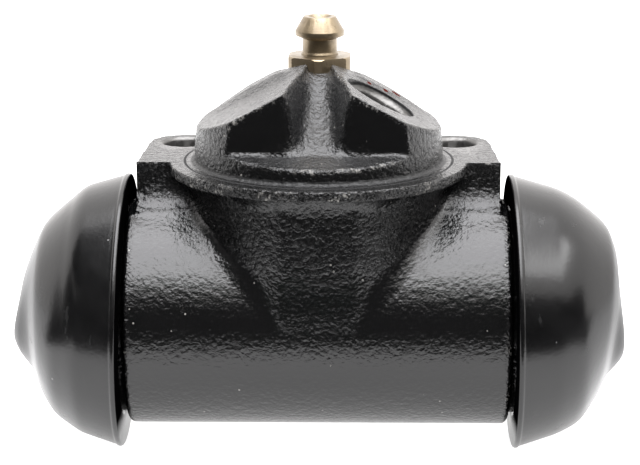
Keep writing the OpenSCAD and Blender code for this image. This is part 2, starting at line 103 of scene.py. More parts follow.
class CastingSizes(bpy.types.PropertyGroup):
    """Sizes of the cast body that its looks follow."""
    axis_drop: length_prop("Axis drop", "Height of the mounting face above the bore axis", 0.0238)
    bore_r: length_prop("Bore radius", "Radius of the cylinder bore", 0.0135)
    barrel_r: length_prop("Barrel radius", "Outside radius of the barrel", 0.01725)
    shoulder_x: length_prop("Shoulder", "Distance of the barrel's end shoulder from the middle", 0.0287)
    pilot_r: length_prop("Pilot radius", "Radius of the pilot's register", 0.0187)
    bolt_x: length_prop("Bolt place", "Distance of each bolt hole from the middle", 0.021)
    bolt_y: length_prop("Bolt setback", "Distance of the bolt holes behind the pilot's centre", 0.0122)
    bolt_r: length_prop("Bolt hole radius", "Radius of the bolt holes", 0.0034)
    bolt_depth: length_prop("Bolt hole depth", "Depth of the bolt holes", 0.0095)
    bolt_pitch: length_prop("Bolt pitch", "Pitch of the bolt holes' thread", 0.00141)
    port_x: length_prop("Port place", "Distance of the inlet's mouth from the middle", 0.0093)
    port_y: length_prop("Port setback", "Place of the inlet's mouth along Y", -0.003)
    port_z: length_prop("Port height", "Height of the inlet's mouth above the mounting face", 0.009998)
    port_r: length_prop("Port radius", "Outer radius of the inlet's thread", 0.00475)
    port_depth: length_prop("Port depth", "Depth of the inlet's thread", 0.011)
    port_pitch: length_prop("Port pitch", "Pitch of the inlet's thread", 0.00106)
    mouth_r: length_prop("Port mouth", "Radius of the inlet's flared mouth", 0.0054)
    roof_top: length_prop("Roof top", "Height where the two port faces would meet", 0.01494)
    ring_r: length_prop("Relief radius", "Radius of the relief line round the pilot", 0.0202)
    crest: length_prop("Crest", "Rise of the port faces' back edge", 0.0008)
    neck_r: length_prop("Neck radius", "Radius that the neck's flare is drawn in to", 0.0183)
    roof_slope: angle_prop("Port face slope", "Slope of the two port faces", 28)
    bleeder_y: length_prop("Bleeder setback", "Distance of the bleeder screw behind the centre", 0.0114)
    bleeder_r: length_prop("Bleeder hole radius", "Radius of the bleeder screw's hole", 0.00475)
    skin: length_prop("Skin", "Grid that the cast skin is rebuilt on", 0.00036)
    rounding: IntProperty(name="Rounding", description="Passes that soften the cast edges", default=2)
    filleting: IntProperty(name="Filleting", description="Passes that fill the hollow cast corners",
                           default=260)
    valley_passes: IntProperty(name="Valley",
                               description="Passes that round the valley between the port bosses", default=160)
    lump: length_prop("Lump", "Depth of the sand's lumps in the cast skin", 0.00002)
    lump_size: length_prop("Lump size", "Size of the sand's lumps", 0.0010)
    faces: IntProperty(name="Triangles", description="Most triangles in the finished casting", default=190000)


class CastingColours(bpy.types.PropertyGroup):
    """Colours and finish of the casting."""
    paint: colour_prop("Paint", "Black paint", (0.002, 0.002, 0.0021))
    dust: colour_prop("Dust", "Dust specks on the paint", (0.30, 0.29, 0.27))
    metal: colour_prop("Machined iron", "Bare machined iron", (0.15, 0.147, 0.142))
    rust: colour_prop("Rust", "Rust specks on the machined port face", (0.048, 0.0095, 0.007))
    gloss: FloatProperty(name="Paint roughness", description="Roughness of the paint", default=0.14, min=0,
                         max=1)


class BootSizes(bpy.types.PropertyGroup):
    """Sizes of the moulded rubber boots, measured from the barrel's shoulder outwards."""
    rim_r: length_prop("Rim radius", "Radius of the boot's rim", 0.021)
    gap: length_prop("Gap", "Gap between the boot's back and the shoulder", 0.00055)
    bead_r: length_prop("Bead radius", "Inner radius of the bead in the spigot's groove", 0.0156)
    bead_end: length_prop("Bead end", "Far side of the bead", 0.00315)
    lip_r: length_prop("Lip room", "Inner radius over the spigot's lip", 0.01665)
    lip_end: length_prop("Lip end", "End of the room over the spigot's lip", 0.00555)
    skirt_l: length_prop("Skirt", "Length of the skirt", 0.005)
    skirt_slope: angle_prop("Skirt slope", "Slope of the skirt", 17)
    face_slope: angle_prop("Face slope", "Slope of the face", 70)
    dome_r: length_prop("Dome radius", "Radius between skirt and face", 0.011)
    wall: length_prop("Wall", "Thickness of the boot's wall", 0.0022)
    face_r: length_prop("Face radius", "Radius of the face at the nose's foot", 0.0105)
    nose_r: length_prop("Nose radius", "Radius of the nose's end", 0.0073)
    nose_h: length_prop("Nose height", "Height of the nose", 0.0026)
    hole_r: length_prop("Link hole", "Radius of the hole for the shoe's link", 0.0046)
    left_lean: angle_prop("Left lean", "Lean of the left boot on its groove", 1.5)
    right_lean: angle_prop("Right lean", "Lean of the right boot on its groove", 1.1)
    steps: IntProperty(name="Steps", description="Steps round the boot", default=96)
    rubber: colour_prop("Rubber", "Black rubber", (0.0007, 0.0007, 0.0008))
    bloom: colour_prop("Bloom", "Grey bloom and dust on the rubber", (0.05, 0.05, 0.05))
    gloss: FloatProperty(name="Rubber roughness", description="Roughness of the rubber", default=0.225, min=0,
                         max=1)


class BleederLook(bpy.types.PropertyGroup):
    """Edges and finish of the bleeder screw."""
    edge: length_prop("Edge", "Rounding of the turned edges", 0.00009)
    zinc: colour_prop("Yellow zinc", "Yellow zinc finish", (0.25, 0.198, 0.128))
    shade: colour_prop("Dull zinc", "Duller patches in the zinc finish", (0.165, 0.127, 0.081))
    line: length_prop("Tool line", "Spacing of the turning tool's lines", 0.00022)


class InnerLook(bpy.types.PropertyGroup):
    """Inner pieces: pistons, cups, expanders and spring."""
    alloy: colour_prop("Alloy", "Turned piston alloy", (0.58, 0.59, 0.60))
    steel: colour_prop("Plated steel", "Plated steel of the expanders", (0.62, 0.62, 0.60))
    wire: colour_prop("Spring wire", "Drawn spring wire", (0.38, 0.385, 0.39))
    wire_r: length_prop("Wire radius", "Radius of the spring's wire", 0.0007)
    coil_r: length_prop("Coil radius", "Mean radius of the coils", 0.00575)
    spring_end: length_prop("Spring end", "Distance of the spring's end from the middle", 0.01295)
    half_turns: IntProperty(name="Half turns", description="Turns in half of the spring", default=3)


class StudioLook(bpy.types.PropertyGroup):
    """Camera, floor and light."""
    focal_px: FloatProperty(name="Focal length", description="Focal length in pixels of the 640 by 465 image",
                            default=2200)
    px_per_mm: FloatProperty(name="Scale", description="Pixels for a millimetre at the bore's centre",
                             default=6.5)
    pitch: angle_prop("Pitch", "Angle that the camera looks down by", 14.3)
    yaw: angle_prop("Yaw", "Turn of the camera", 0.8)
    bore_px: FloatVectorProperty(name="Bore centre", description="Pixel of the bore's centre", size=2,
                                 default=(318.7, 310.0))
    floor: colour_prop("Floor", "Pale floor", (0.45, 0.45, 0.45))
    glow: FloatProperty(name="Floor glow",
                        description="Light that the floor gives of its own, as a light table does",
                        default=0.95)
    sky: FloatProperty(name="Surround", description="Brightness of the white surround", default=2.0)
    top_box: FloatProperty(name="Top softbox", description="Radiance of the softbox overhead", default=7.2)
    top_tint: colour_prop("Softbox colour", "Colour of the softbox", (0.96, 0.965, 1.0))
    sky_tint: colour_prop("Surround colour", "Colour of the surround", (1.0, 0.975, 0.965))
    side_light: FloatProperty(name="Side light", description="Radiance of the strip to the right", default=9.0)
    top_height: length_prop("Softbox height", "Height of the softbox", 0.5)
    dark_card: FloatProperty(name="Dark card", description="Radiance of the dark room behind the camera",
                             default=0.06)


class Shade:
    """An output socket with Python's operators, so that shader maths reads as plain expressions."""

    def __init__(self, tree, out=None):
        self.tree = tree
        self.out = out

    def add(self, kind, settings=None, pick=0, sockets=None):
        """Adds a node: its settings first, then its sockets' values or links, and gives its output."""
        node = self.tree.nodes.new(kind)
        for name, value in (settings or {}).items():
            setattr(node, name, value)
        for name, value in (sockets or {}).items():
            if isinstance(value, Shade):
                self.tree.links.new(value.out, node.inputs[name])
            else:
                node.inputs[name].default_value = value
        return Shade(self.tree, node.outputs[pick])

    def math(self, operation, *values):
        return self.add("ShaderNodeMath", {"operation": operation}, 0, dict(enumerate(values)))

    def __add__(self, other):
        return self.math("ADD", self, other)

    def __radd__(self, other):
        return self.math("ADD", other, self)

    def __sub__(self, other):
        return self.math("SUBTRACT", self, other)

    def __rsub__(self, other):
        return self.math("SUBTRACT", other, self)

    def __mul__(self, other):
        return self.math("MULTIPLY", self, other)

    def __rmul__(self, other):
        return self.math("MULTIPLY", other, self)

    def __truediv__(self, other):
        return self.math("DIVIDE", self, other)

    def __gt__(self, other):
        return self.math("GREATER_THAN", self, other)

    def __lt__(self, other):
        return self.math("LESS_THAN", self, other)

    def root(self):
        return self.math("SQRT", self)

    def size(self):
        return self.math("ABSOLUTE", self)

    def clamp(self):
        return self.add("ShaderNodeClamp", {}, 0, {0: self, 1: 0.0, 2: 1.0})

    def step(self, low, high):
        """Smooth step from 0 at low to 1 at high."""
        return self.add("ShaderNodeMapRange", {"interpolation_type": "SMOOTHSTEP", "clamp": True}, 0,
                        {0: self, 1: low, 2: high, 3: 0.0, 4: 1.0})

    def mix(self, first, second):
        """Colour between two others, with this value as the factor."""
        return self.add("ShaderNodeMix", {"data_type": "RGBA"}, 2, {0: self, 6: first, 7: second})


def rgba(colour, share=1.0):
    """The colour, or a share of its brightness, as a socket takes it."""
    return (*(c * share for c in colour), 1.0)


class Finish:
    """A material with a Principled shader, its Object coordinates and the tools to fill it."""

    def __init__(self, name):
        self.material = bpy.data.materials.new(name)
        self.material.use_nodes = True
        self.tree = self.material.node_tree
        self.tree.nodes.clear()
        self.shade = Shade(self.tree)
        self.bsdf = self.tree.nodes.new("ShaderNodeBsdfPrincipled")
        self.output = self.tree.nodes.new("ShaderNodeOutputMaterial")
        self.tree.links.new(self.bsdf.outputs[0], self.output.inputs[0])
        self.place = self.shade.add("ShaderNodeTexCoord", {}, 3)

    def xyz(self, axis):
        """Distance from the origin along X, Y or Z."""
        return self.shade.add("ShaderNodeSeparateXYZ", {}, axis, {0: self.place})

    def noise(self, size, detail=2.0, rough=0.5, stretch=None):
        """Noise with lumps of about the given size in metres, stretched along the axes on request."""
        place = self.place
        if stretch:
            place = self.shade.add("ShaderNodeMapping", {}, 0, {"Vector": place, "Scale": stretch})
        return self.shade.add("ShaderNodeTexNoise", {"noise_dimensions": "3D"}, 0,
                              {"Vector": place, "Scale": 1.0 / size, "Detail": detail, "Roughness": rough})

    def cells(self, size):
        """Distance to the nearest of many scattered points, about the given size apart."""
        return self.shade.add("ShaderNodeTexVoronoi", {}, 0, {"Vector": self.place, "Scale": 1.0 / size})

    def attribute(self, name):
        """A value that the piece's points carry."""
        return self.shade.add("ShaderNodeAttribute", {"attribute_name": name}, 2)

    def spots(self, places):
        """Ragged spots round the given places, as a value of 0 to 1."""
        ragged = self.noise(0.4 * MM, 3.0, 0.7)
        total = 0.0
        for place, radius in places:
            apart = self.shade.add("ShaderNodeVectorMath", {"operation": "DISTANCE"}, 1,
                                   {0: self.place, 1: place})
            total = 1 - (apart / radius + ragged * 0.9).step(1.15, 1.4) + total
        return total.clamp()

    def ring(self, first, second, radius, half):
        """A thin ring of the given radius round the place where both distances are 0."""
        apart = (first * first + second * second).root() - radius
        return 1 - apart.size().step(half * 0.6, half * 1.4)

    def bump(self, height, distance, strength=1.0):
        return self.shade.add("ShaderNodeBump", {}, 0,
                              {"Height": height, "Distance": distance, "Strength": strength})

    def crust_and_shade(self, factor, colour):
        """Covers the shader with a flat, dull coat of one colour where the factor is 1: rust specks on the paint,
        painted shade on the boots.
        """
        dull_shade = self.shade.add("ShaderNodeBsdfDiffuse", {}, 0, {"Color": colour})
        under = Shade(self.tree, self.bsdf.outputs[0])
        both = self.shade.add("ShaderNodeMixShader", {}, 0, {0: factor, 1: under, 2: dull_shade})
        self.tree.links.new(both.out, self.output.inputs[0])

    def set(self, **values):
        """Sets or links the shader's sockets, and gives the material."""
        for name, value in values.items():
            socket = self.bsdf.inputs[name.replace("_", " ")]
            if isinstance(value, Shade):
                self.tree.links.new(value.out, socket)
            else:
                socket.default_value = value
        return self.material


def paint_finish():
    """Gloss black paint over sand-cast iron, thin on its edges and specked with rust by the port."""
    colours, sizes = bpy.context.scene.casting_colours, bpy.context.scene.casting_sizes
    f = Finish("cast_paint")
    machined, bare, edge, sand = (f.attribute(name) for name in ("machined", "bare", "edge", "sand"))
    x, y, z = (f.xyz(axis) for axis in range(3))
    grain = f.noise(0.68 * MM, 3.0, 0.55)
    peel = f.noise(1.6 * MM, 2.0, 0.5)
    tooling = f.noise(0.18 * MM, 1.0, 0.5, (1.0, 0.12, 1.0))
    cast = grain * (0.9 + sand + edge * 1.4) + peel * (0.35 + sand * 0.5)
    height = (1 - machined) * cast + machined * tooling * 0.15
    across = (x - sizes.port_x) * math.cos(sizes.roof_slope) - (z - sizes.port_z) * math.sin(sizes.roof_slope)
    on_face = z > -0.6 * MM
    # Thin dark rings that take the black paint colour and a high roughness: painted shade along the inlet mouth's
    # edge (lip), in the filled relief groove round the pilot (relief) and in the pilot's foot corner (corner).
    lip = f.ring(across, y - sizes.port_y, sizes.mouth_r, 0.16 * MM) * (z > 4 * MM) * (x > 0)
    relief = f.ring(x, y, sizes.ring_r, 0.18 * MM) * on_face
    corner = f.ring(x, y, sizes.pilot_r + 0.2 * MM, 0.4 * MM) * 0.5 * (z < 0.7 * MM) * on_face
    lines = lip + relief + corner
    speck = (f.cells(2.4 * MM) < 0.06) * (f.noise(8 * MM) > 0.53)
    wear = f.noise(0.7 * MM, 4.0, 0.7)
    chipped = (edge * (wear - 0.46) * 5).step(0.25, 0.9) * f.noise(6 * MM).step(0.46, 0.60)
    iron = wear.mix(rgba(colours.metal, 0.7), rgba(colours.metal))
    base = (speck * 0.5 + chipped * 0.4).mix(rgba(colours.paint), rgba(colours.dust))
    # The painted shade rings turn to black paint, even over bare iron.
    base = lines.clamp().mix(bare.mix(base, iron), rgba(colours.paint))
    pits = grain.step(0.50, 0.64) * sand
    rough = colours.gloss + 0.08 * f.noise(3 * MM) + pits * 0.16 + bare * 0.2 + chipped * 0.25 + lines * 0.6
    f.crust_and_shade(f.spots(RUST_SPECKS), rgba(colours.rust))
    return f.set(Base_Color=base, Roughness=rough.clamp(), Metallic=bare * 0.9, IOR=1.5,
                 Normal=f.bump(height, 0.15 * MM))


def thread_finish():
    """Cut thread, bare and a little dirty in patches."""
    metal = bpy.context.scene.casting_colours.metal
    f = Finish("cut_thread")
    dirt = f.noise(1.2 * MM, 3.0).step(0.45, 0.65)
    return f.set(Base_Color=dirt.mix(rgba(metal, 0.4), rgba(metal, 0.12)), Roughness=0.42 + dirt * 0.25,
                 Metallic=0.9 - dirt * 0.4, Normal=f.bump(f.noise(0.2 * MM), 0.04 * MM, 0.5))


def rubber_finish():
    """Satin moulded rubber with a faint bloom, fine mould grain and a few scuffs and dust specks."""
    look = bpy.context.scene.boot_sizes
    f = Finish("boot_rubber")
    bloom = f.noise(12 * MM, 4.0, 0.6).step(0.42, 0.75)
    scuff = f.noise(3.5 * MM, 5.0, 0.7, (1.0, 1.0, 0.35)).step(0.60, 0.72)
    speck = (f.cells(2.8 * MM) < 0.05) * (f.noise(7 * MM) > 0.58)
    base = (bloom * 0.04 + scuff * 0.10).mix(rgba(look.rubber), rgba(look.bloom))
    base = (speck * 0.6).mix(base, rgba(look.bloom, 4))
    rough = look.gloss + bloom * 0.05 + scuff * 0.10
    grain = f.noise(0.5 * MM, 2.0) * 0.5 + f.noise(2.8 * MM, 2.0)
    # Flat dark rubber over the marked places: painted shade on each boot's back, and a partial cover towards its
    # nose.
    f.crust_and_shade(f.attribute("dull_shade"), rgba(look.rubber))
    return f.set(Base_Color=base, Roughness=rough, IOR=1.5, Normal=f.bump(grain, 0.04 * MM, 0.6))


def zinc_finish():
    """Yellow zinc over turned steel: fine tool lines round the screw and duller patches."""
    look = bpy.context.scene.bleeder_look
    f = Finish("yellow_zinc")
    lines = f.noise(look.line, 1.0, 0.5, (0.02, 0.02, 1.0))
    patch = f.noise(2.2 * MM, 4.0, 0.6).step(0.42, 0.66)
    stain = f.noise(0.9 * MM, 3.0, 0.65).step(0.58, 0.70)
    base = (patch * 0.6).mix(rgba(look.zinc), rgba(look.shade))
    base = (stain * 0.35).mix(base, rgba(look.shade, 0.4))
    rough = 0.36 + patch * 0.10 + lines * 0.08 + stain * 0.1
    return f.set(Base_Color=base, Roughness=rough, Metallic=1.0, Coat_Weight=0.4, Coat_Roughness=0.2,
                 Normal=f.bump(lines + patch * 0.3, 0.03 * MM, 0.55))


def metal_finish(name, colour, along=(0.05, 1.0, 1.0), rough=0.3):
    """Turned or drawn metal with fine lines."""
    f = Finish(name)
    lines = f.noise(0.3 * MM, 2.0, 0.5, along)
    base = f.noise(4 * MM, 3.0, 0.6).mix(rgba(colour, 0.8), rgba(colour))
    return f.set(Base_Color=base, Roughness=rough + lines * 0.12, Metallic=1.0,
                 Normal=f.bump(lines, 0.03 * MM, 0.5))


def cup_finish():
    """Smooth moulded rubber, wet with brake fluid."""
    look = bpy.context.scene.boot_sizes
    f = Finish("cup_rubber")
    flow = f.noise(3 * MM, 3.0)
    return f.set(Base_Color=(flow * 0.3).mix(rgba(look.rubber), rgba(look.bloom)), Roughness=0.25 + flow * 0.2,
                 IOR=1.5, Normal=f.bump(f.noise(0.8 * MM, 2.0), 0.03 * MM, 0.4))


def floor_finish():
    """Pale matte floor."""
    look = bpy.context.scene.studio_look
    f = Finish("studio_floor")
    base = f.noise(50 * MM, 3.0).mix(rgba(look.floor, 0.99), rgba(look.floor))
    return f.set(Base_Color=base, Roughness=0.9, IOR=1.2, Emission_Color=(1.0, 1.0, 1.0, 1.0),
                 Emission_Strength=look.glow)


def card_finish(name, radiance):
    """A studio card of one even brightness."""
    material = bpy.data.materials.new(name)
    material.use_nodes = True
    tree = material.node_tree
    tree.nodes.clear()
    glow = Shade(tree).add("ShaderNodeEmission", {}, 0, {"Color": (1, 1, 1, 1), "Strength": radiance})
    tree.links.new(glow.out, tree.nodes.new("ShaderNodeOutputMaterial").inputs[0])
    return material


def only(obj):
    """Makes one object the selected and active one."""
    bpy.ops.object.select_all(action="DESELECT")
    obj.select_set(True)
    bpy.context.view_layer.objects.active = obj


def named(name):
    """The object that an operator has just added, with a name of its own for it and its mesh."""
    obj = bpy.context.active_object
    obj.name = name
    obj.data.name = name
    return obj


def modify(obj, kind, **settings):
    """Adds a modifier, sets it and applies it."""
    only(obj)
    modifier = obj.modifiers.new(kind.lower(), kind)
    for name, value in settings.items():
        setattr(modifier, name, value)
    bpy.ops.object.modifier_apply(modifier=modifier.name)


def settle(obj):
    """Puts the object's place into its mesh and turns its faces outwards."""
    only(obj)
    bpy.ops.object.transform_apply(location=True, rotation=True, scale=True)
    bpy.ops.object.mode_set(mode="EDIT")
    bpy.ops.mesh.select_all(action="SELECT")
    bpy.ops.mesh.remove_doubles(threshold=1e-7)
    bpy.ops.mesh.normals_make_consistent(inside=False)
    bpy.ops.object.mode_set(mode="OBJECT")


def copy_of(node, name):
    """A merged copy of a CAD node's mesh, free of materials."""
    obj = bpy.data.objects.new(name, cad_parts[node].data.copy())
    obj.data.name = name
    obj.data.materials.clear()
    bpy.context.scene.collection.objects.link(obj)
    only(obj)
    bpy.ops.object.mode_set(mode="EDIT")
    bpy.ops.mesh.select_all(action="SELECT")
    bpy.ops.mesh.remove_doubles(threshold=1e-6)
    bpy.ops.object.mode_set(mode="OBJECT")
    return obj


def points(obj):
    """The mesh's points as an array."""
    co = np.empty(len(obj.data.vertices) * 3)
    obj.data.vertices.foreach_get("co", co)
    return co.reshape(-1, 3)


def normals(obj):
    """The normals at the mesh's points as an array."""
    co = np.empty(len(obj.data.vertices) * 3)
    obj.data.vertex_normals.foreach_get("vector", co)
    return co.reshape(-1, 3)


def put_points(obj, co):
    """Moves the mesh's points."""
    obj.data.vertices.foreach_set("co", co.ravel())
    obj.data.update()


def weigh(obj, name, weights):
    """A vertex group with these weights, in eighths."""
    group = obj.vertex_groups.new(name=name)
    levels = np.round(np.clip(weights, 0, 1) * 8) / 8
    for level in np.unique(levels):
        if level > 0:
            group.add(np.nonzero(levels == level)[0].tolist(), float(level), "REPLACE")


def mark(obj, name, weights):
    """A float attribute on the points, for the materials to read."""
    attribute = obj.data.attributes.new(name, "FLOAT", "POINT")
    attribute.data.foreach_set("value", weights.astype(np.float32))


def curvature(obj, size, spread):
    """How hollow (above 0) or sharp (below 0) the skin is round each point, in parts of its grid."""
    mesh, co = obj.data, points(obj)
    ends = np.empty(len(mesh.edges) * 2, dtype=np.int32)
    mesh.edges.foreach_get("vertices", ends)
    first, second = ends[0::2], ends[1::2]
    count = np.bincount(ends, minlength=len(co))

    def around(value):
        return (np.bincount(first, value[second], len(co)) + np.bincount(second, value[first], len(co))) / count
    pull = np.stack([around(co[:, axis]) for axis in range(3)], axis=1) - co
    bend = (pull * normals(obj)).sum(axis=1) / size
    for _ in range(spread):
        bend = around(bend)
    return bend


def near(distance, reach, fade):
    """1 up to reach, falling to 0 over fade."""
    return np.clip((reach + fade - distance) / fade, 0, 1)


def past(distance, start, span):
    """0 up to start, rising to 1 over span."""
    return np.clip((distance - start) / span, 0, 1)


def smooth(obj, degrees):
    """Shades the faces that meet at less than the given angle as one surface."""
    only(obj)
    bpy.ops.object.shade_smooth_by_angle(angle=math.radians(degrees))


def finish_piece(obj, material, body, slot, *nodes):
    """Gives a piece its material and body, and hides the CAD nodes that it stands for; its slot is not used."""
    obj.data.materials.clear()
    obj.data.materials.append(material)
    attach(obj, body)
    if nodes:
        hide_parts(*nodes)


class WHEELCYL_OT_casting(bpy.types.Operator):
    """Rebuilds the casting's skin with soft cast edges, and keeps its machined faces true."""
    bl_idname = "wheelcyl.casting"
    bl_label = "Casting"

    def execute(self, context):
        s = context.scene.casting_sizes
        body = copy_of("cylinder_body", "casting")
        modify(body, "REMESH", mode="VOXEL", voxel_size=s.skin)
        put_points(body, self.shaped(points(body), s))
        self.zones(body, s)
        for zone, passes in (("cast_zone", s.rounding), ("hollow_zone", s.filleting),
                             ("valley_zone", s.valley_passes)):
            modify(body, "SMOOTH", factor=0.5, iterations=passes, vertex_group=zone)
        modify(body, "SHRINKWRAP", target=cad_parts["cylinder_body"], wrap_method="NEAREST_SURFACEPOINT",
               vertex_group="true_zone")
        sand = bpy.data.textures.new("sand", "CLOUDS")
        sand.noise_scale = s.lump_size
        sand.noise_depth = 2
        modify(body, "DISPLACE", texture=sand, texture_coords="LOCAL", strength=2 * s.lump, mid_level=0.5,
               vertex_group="cast_zone")
        tris = sum(len(p.vertices) - 2 for p in body.data.polygons)
        if tris > s.faces:
            modify(body, "DECIMATE", ratio=s.faces / tris)
        body.vertex_groups.clear()
        smooth(body, 40)
        finish_piece(body, paint_finish(), "cylinder", "black_paint", "cylinder_body")
        return {"FINISHED"}

    def shaped(self, co, s):
        """The points with the pattern's hand-worked forms: neck, valley and crest, and a filled relief line."""
        x, y, z = co.T
        drawn, pressed, run_in, front = self.neck(x, y, z, s)
        spread, pinch, rise = self.valley(x, y, z)
        lift = s.crest * self.crest(x, y, z, s) + rise
        groove = (np.abs(np.hypot(x, y) - s.ring_r) < 0.7 * MM) * (z > -0.6 * MM) * (z < 0.2 * MM)
        return np.stack([x * drawn * (1 - pinch) + spread, (y * drawn + pressed) * (1 - run_in) - front * run_in,
                         np.where(groove, 0, z + lift)], axis=1)

    def neck(self, x, y, z, s):
        """How the flare is drawn in, how far the front is pressed flat, and where and how it joins the barrel."""
        out, over_bore = np.hypot(x, y), np.hypot(y, z + s.axis_drop)
        clear = past(over_bore, s.barrel_r, 0.6 * MM) * near(z, -2.2 * MM, 0.5 * MM)
        facing = near(np.degrees(np.arctan2(np.abs(x), -y)), 52, 25) * clear
        drawn = 1 - 0.9 * facing * np.clip(out - s.neck_r, 0, None) / out
        flat = 17.2 * MM + (z + 22.5 * MM) * 0.015
        pressed = 0.92 * clear * np.clip(-y * drawn - flat, 0, None) * near(np.abs(x), 15 * MM, 3 * MM)
        barrel_front = np.sqrt(np.clip(s.barrel_r ** 2 - (z + s.axis_drop) ** 2, 0, None))
        neck_front = np.minimum(flat, np.sqrt(np.clip((18.1 * MM) ** 2 - x ** 2, 0, None)))
        run_in = near(np.abs(x), 9 * MM, 1.5 * MM) * near(z, -15.5 * MM, 2 * MM) * (z > -s.axis_drop)
        run_in = run_in * (y < -12 * MM) * (over_bore > s.barrel_r - 0.4 * MM)
        return drawn, pressed, run_in, np.maximum(barrel_front, neck_front)

    def valley(self, x, y, z):
        """How the valley's foot spreads, and how its back end narrows and rises."""
        side = np.abs(x)
        foot = near(z, 4.2 * MM, 5 * MM) * (z > 3 * MM) * (y < 0)
        wide = np.interp(side, (0, 3 * MM, 9 * MM, 1), (0, 4.2 * MM, 9 * MM, 1)) - side
        back = past(y, -6 * MM, 9 * MM)
        pinch = 0.24 * back * near(side, 3.2 * MM, 3.5 * MM) * past(z, 6 * MM, 3 * MM)
        floor = near(side, 1.5 * MM, 1.5 * MM) * past(z, 7 * MM, 3 * MM) * near(z, 12 * MM, 0.8 * MM)
        return np.sign(x) * wide * foot, pinch, 0.9 * MM * back ** 2 * floor

    def crest(self, x, y, z, s):
        """Share of the crest's rise along the port faces' back edge, less on the right."""
        side = np.abs(x)
        edge = past(y, 1.2 * MM, 3 * MM) * (z > 4 * MM) * near(self.under_roof(x, z, s), 0.6 * MM, 0.8 * MM)
        return edge * near(side, 10.5 * MM, 7.5 * MM) * past(side, 2.4 * MM, 4 * MM) * np.where(x > 0, 0.5, 1)

    def under_roof(self, x, z, s):
        """Depth below the sloping port faces."""
        return s.roof_top - np.abs(x) * math.tan(s.roof_slope) - z

    def zones(self, body, s):
        """Marks the skin for the paint, and weighs where it is smoothed, filled or kept true."""
        co = points(body)
        true, machined, bare = self.machined(co, s)
        x, y, z = np.abs(co[:, 0]), co[:, 1], co[:, 2]
        valley = near(x, 5.8 * MM, 3 * MM) * past(z, 3.2 * MM, 0.8 * MM)
        valley = valley * past(self.under_roof(x, z, s), 1 * MM, 1.4 * MM)
        hollow = past(curvature(body, s.skin, 30), 0.003, 0.006) * near(z, -1.8 * MM, 0.6 * MM)
        web = near(np.abs(z + 8 * MM), 4 * MM, 2.2 * MM) * past(x, 12 * MM, 3 * MM) * near(y, 4 * MM, 3 * MM)
        filled = np.maximum(hollow, web) * near(x, 26.2 * MM, 1 * MM)
        edge = past(-curvature(body, s.skin, 4), 0.0125, 0.05) * (1 - machined) * (1 - valley)
        off_barrel = 1 - near(np.hypot(y, z + s.axis_drop), s.barrel_r + 0.4 * MM, 1.2 * MM)
        panel = past(-normals(body)[:, 1], 0.7, 0.25) * (z > 3 * MM)
        low_neck = past(-z, 12 * MM, 6 * MM)
        sand = off_barrel * (1 - 0.8 * panel) * (1 - 1.5 * low_neck)
        for name, values in (("machined", machined), ("bare", bare), ("edge", edge), ("sand", sand)):
            mark(body, name, values)
        for name, weights in (("true_zone", true), ("cast_zone", 1 - true), ("hollow_zone", filled * (1 - true)),
                              ("valley_zone", valley * (1 - true))):
            weigh(body, name, weights)

    def machined(self, co, s):
        """How far each point keeps its true place, shows machining, and is bare of paint."""
        x, y, z = co.T
        lap, skim, fade = 0.4 * MM, 0.12 * MM, 0.2 * MM
        in_bore = near(np.hypot(y, z + s.axis_drop), s.bore_r + 0.2 * MM, lap)
        turned_end = near(s.shoulder_x - np.abs(x), 0.1 * MM, fade)
        pilot = np.hypot(x, y)
        face = near(np.abs(z), skim, fade) * (np.abs(pilot - s.ring_r) > 0.8 * MM)
        face = face * (pilot > s.pilot_r + 1.4 * MM)
        axis = np.array([math.sin(s.roof_slope), 0, math.cos(s.roof_slope)])
        rel = co - np.array([s.port_x, s.port_y, s.port_z])
        along = rel @ axis
        from_port = np.linalg.norm(rel - np.outer(along, axis), axis=1)
        roof = near(np.abs(along), skim, fade) * (x > 0) * (z > 3 * MM) * near(from_port, 8.8 * MM, 1.2 * MM)
        port = near(from_port, s.port_r + lap, lap) * (along > -s.port_depth - 4 * MM) * (along < 0.5 * MM)
        bolts = near(np.hypot(np.abs(x) - s.bolt_x, y - s.bolt_y), s.bolt_r + lap, lap)
        bolts = bolts * (z < 0.5 * MM) * (z > -13 * MM)
        bleeder = near(np.hypot(x, y - s.bleeder_y), s.bleeder_r + 0.2 * MM, lap) * (z > -20 * MM)
        bare = np.max([in_bore, port, bolts, bleeder], axis=0)
        true = np.max([bare, turned_end, face, roof], axis=0)
        return true, np.maximum(bare, turned_end), bare


